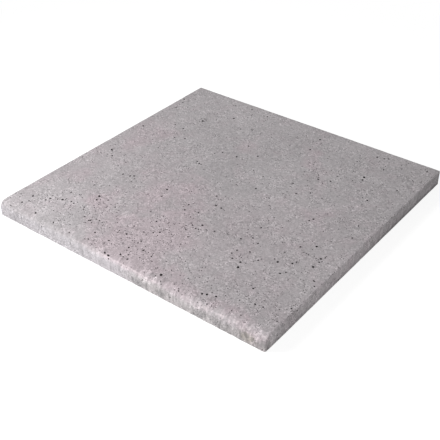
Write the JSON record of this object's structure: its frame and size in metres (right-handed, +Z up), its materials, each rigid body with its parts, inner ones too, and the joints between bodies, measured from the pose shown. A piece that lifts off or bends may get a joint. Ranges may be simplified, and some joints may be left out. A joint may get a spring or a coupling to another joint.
{
  "type": "pool coping stone",
  "caption": "Square slab of cast stone for the edge of a swimming pool, with a flat bed, straight joint sides and a rounded nose along the side that faces the water.",
  "frame": {"origin": "centre of the bed, the flat underside that lies on the mortar", "axes": "+X along the pool edge, +Y from the rounded nose towards the paving, +Z up through the thickness to the walking surface"},
  "size_m": [0.5, 0.5, 0.025],
  "materials": {
    "cast_stone": "matt, fine sandy face with small open pores"
  },
  "bodies": {
    "root": {"coping_stone": "cast_stone"}
  },
  "joints": []
}
